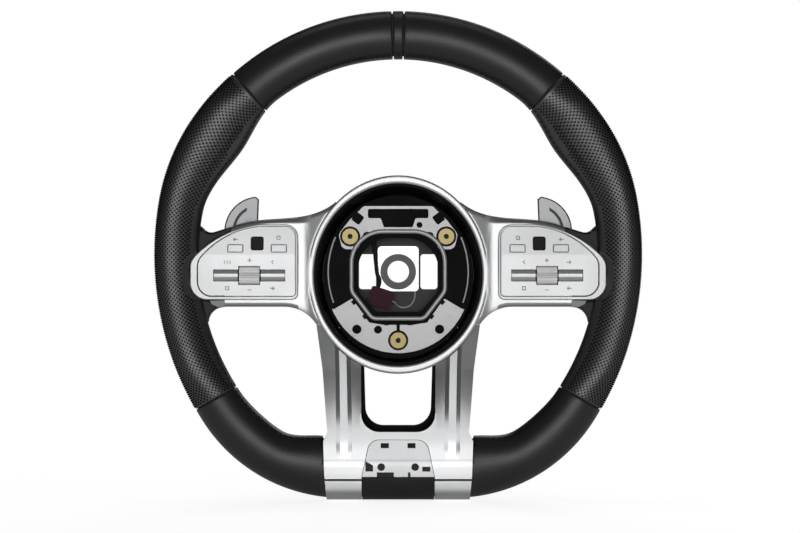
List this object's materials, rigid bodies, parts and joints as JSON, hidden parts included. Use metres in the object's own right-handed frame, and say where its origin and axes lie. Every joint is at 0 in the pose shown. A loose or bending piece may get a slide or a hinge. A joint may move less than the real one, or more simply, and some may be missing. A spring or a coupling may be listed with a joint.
{
  "type": "car steering wheel",
  "caption": "Flat-bottomed leather car steering wheel with thumb-wheel switch panels, shift paddles and an open hub that shows the airbag carrier and column bore.",
  "frame": {"origin": "on the steering column axis, 4 mm in front of the boss's rear face", "axes": "+Z towards 12 o'clock, -Y towards the driver, +X to the driver's right, +Y along the column bore"},
  "size_m": [0.3744, 0.087, 0.376],
  "materials": {
    "smooth_leather": "fine grain, low sheen",
    "perforated_leather": "perforated, low sheen",
    "foam": "moulded foam",
    "steel_core": "coated steel",
    "satin_trim": "satin silver",
    "silver_plate": "satin silver",
    "panel_silver": "fine satin silver",
    "control_silver": "fine satin silver",
    "roller_metal": "ribbed, satin",
    "paddle_metal": "satin",
    "gloss_black": "gloss",
    "black_plastic": "fine grain",
    "bare_plate": "bare, matt",
    "casting": "as cast",
    "bright_steel": "machined",
    "wire_steel": "zinc coated",
    "brass": "turned",
    "black_rubber": "matt",
    "plug_plastic": "moulded",
    "white_wire": "sheathed",
    "board": "coated board",
    "screw_black": "blackened"
  },
  "bodies": {
    "wheel": {"leather_top_left": "smooth_leather", "leather_top_right": "smooth_leather", "marker_band": "smooth_leather", "leather_lower_left": "smooth_leather", "leather_lower_right": "smooth_leather", "leather_grip_left": "perforated_leather", "leather_grip_right": "perforated_leather", "rim_foam": "foam", "rim_core": "steel_core", "hub_trim": "satin_trim", "lower_spoke_trim": "satin_trim", "badge_plate": "silver_plate", "switch_frame_left": "panel_silver", "switch_frame_right": "panel_silver", "switch_face_left": "panel_silver", "switch_face_right": "panel_silver", "bottom_insert": "gloss_black", "hub_shroud": "black_plastic", "carrier_frame": "black_plastic", "harness_block": "black_plastic", "switch_housing_left": "black_plastic", "switch_housing_right": "black_plastic", "rear_hub_cover": "black_plastic", "rear_lower_cover": "black_plastic", "rear_spoke_cover_left": "black_plastic", "rear_spoke_cover_right": "black_plastic", "paddle_bracket_left": "black_plastic", "paddle_bracket_right": "black_plastic", "carrier_upper": "bare_plate", "carrier_lower": "bare_plate", "hub_casting": "casting", "hub_boss": "bright_steel", "paddle_pin_left": "bright_steel", "paddle_pin_right": "bright_steel", "retaining_wire": "wire_steel", "side_springs": "wire_steel", "guide_bushings": "brass", "bushing_grommets": "black_rubber", "plug_lead": "black_rubber", "airbag_plug": "plug_plastic", "earth_wire": "white_wire", "switch_board_left": "board", "switch_board_right": "board", "cover_screws": "screw_black"},
    "paddle_left": {"paddle_left": "paddle_metal"},
    "roller_left": {"roller_left": "roller_metal"},
    "touch_pad_left": {"touch_pad_left": "gloss_black"},
    "rocker_left_outer": {"rocker_left_outer": "control_silver"},
    "button_left_outer": {"button_left_outer": "control_silver"},
    "rocker_left_inner": {"rocker_left_inner": "control_silver"},
    "button_left_inner": {"button_left_inner": "control_silver"},
    "paddle_right": {"paddle_right": "paddle_metal"},
    "roller_right": {"roller_right": "roller_metal"},
    "touch_pad_right": {"touch_pad_right": "gloss_black"},
    "rocker_right_outer": {"rocker_right_outer": "control_silver"},
    "button_right_outer": {"button_right_outer": "control_silver"},
    "rocker_right_inner": {"rocker_right_inner": "control_silver"},
    "button_right_inner": {"button_right_inner": "control_silver"}
  },
  "joints": [
    {"name": "paddle_left_pull", "type": "hinge", "parent": "wheel", "child": "paddle_left", "pos_m": [-0.075, -0.0225, 0.003], "axis": [0, 0, 1], "range_deg": [0, 5], "stiffness_Nm_per_rad": 2.5, "springref_deg": -1.72},
    {"name": "roller_left_turn", "type": "hinge", "parent": "wheel", "child": "roller_left", "pos_m": [-0.1145, -0.057, -0.0028], "axis": [1, 0, 0], "range_deg": [-12, 12], "stiffness_Nm_per_rad": 0.03},
    {"name": "touch_pad_left_press", "type": "slide", "parent": "wheel", "child": "touch_pad_left", "axis": [0, 1, 0], "range_m": [0, 0.0005], "stiffness_N_per_m": 3000, "springref_m": -0.0001},
    {"name": "rocker_left_outer_tilt", "type": "hinge", "parent": "wheel", "child": "rocker_left_outer", "pos_m": [-0.1145, -0.057, -0.0028], "axis": [1, 0, 0], "range_deg": [-4, 4], "stiffness_Nm_per_rad": 0.12},
    {"name": "button_left_outer_press", "type": "slide", "parent": "wheel", "child": "button_left_outer", "axis": [0, 1, 0], "range_m": [0, 0.0008], "stiffness_N_per_m": 2500, "springref_m": -0.0001},
    {"name": "rocker_left_inner_tilt", "type": "hinge", "parent": "wheel", "child": "rocker_left_inner", "pos_m": [-0.1145, -0.057, -0.0028], "axis": [1, 0, 0], "range_deg": [-4, 4], "stiffness_Nm_per_rad": 0.12},
    {"name": "button_left_inner_press", "type": "slide", "parent": "wheel", "child": "button_left_inner", "axis": [0, 1, 0], "range_m": [0, 0.0008], "stiffness_N_per_m": 2500, "springref_m": -0.0001},
    {"name": "paddle_right_pull", "type": "hinge", "parent": "wheel", "child": "paddle_right", "pos_m": [0.075, -0.0225, 0.003], "axis": [0, 0, -1], "range_deg": [0, 5], "stiffness_Nm_per_rad": 2.5, "springref_deg": -1.72},
    {"name": "roller_right_turn", "type": "hinge", "parent": "wheel", "child": "roller_right", "pos_m": [0.1145, -0.057, -0.0028], "axis": [1, 0, 0], "continuous": true},
    {"name": "touch_pad_right_press", "type": "slide", "parent": "wheel", "child": "touch_pad_right", "axis": [0, 1, 0], "range_m": [0, 0.0005], "stiffness_N_per_m": 3000, "springref_m": -0.0001},
    {"name": "rocker_right_outer_tilt", "type": "hinge", "parent": "wheel", "child": "rocker_right_outer", "pos_m": [0.1145, -0.057, -0.0028], "axis": [1, 0, 0], "range_deg": [-4, 4], "stiffness_Nm_per_rad": 0.12},
    {"name": "button_right_outer_press", "type": "slide", "parent": "wheel", "child": "button_right_outer", "axis": [0, 1, 0], "range_m": [0, 0.0008], "stiffness_N_per_m": 2500, "springref_m": -0.0001},
    {"name": "rocker_right_inner_tilt", "type": "hinge", "parent": "wheel", "child": "rocker_right_inner", "pos_m": [0.1145, -0.057, -0.0028], "axis": [1, 0, 0], "range_deg": [-4, 4], "stiffness_Nm_per_rad": 0.12},
    {"name": "button_right_inner_press", "type": "slide", "parent": "wheel", "child": "button_right_inner", "axis": [0, 1, 0], "range_m": [0, 0.0008], "stiffness_N_per_m": 2500, "springref_m": -0.0001}
  ]
}
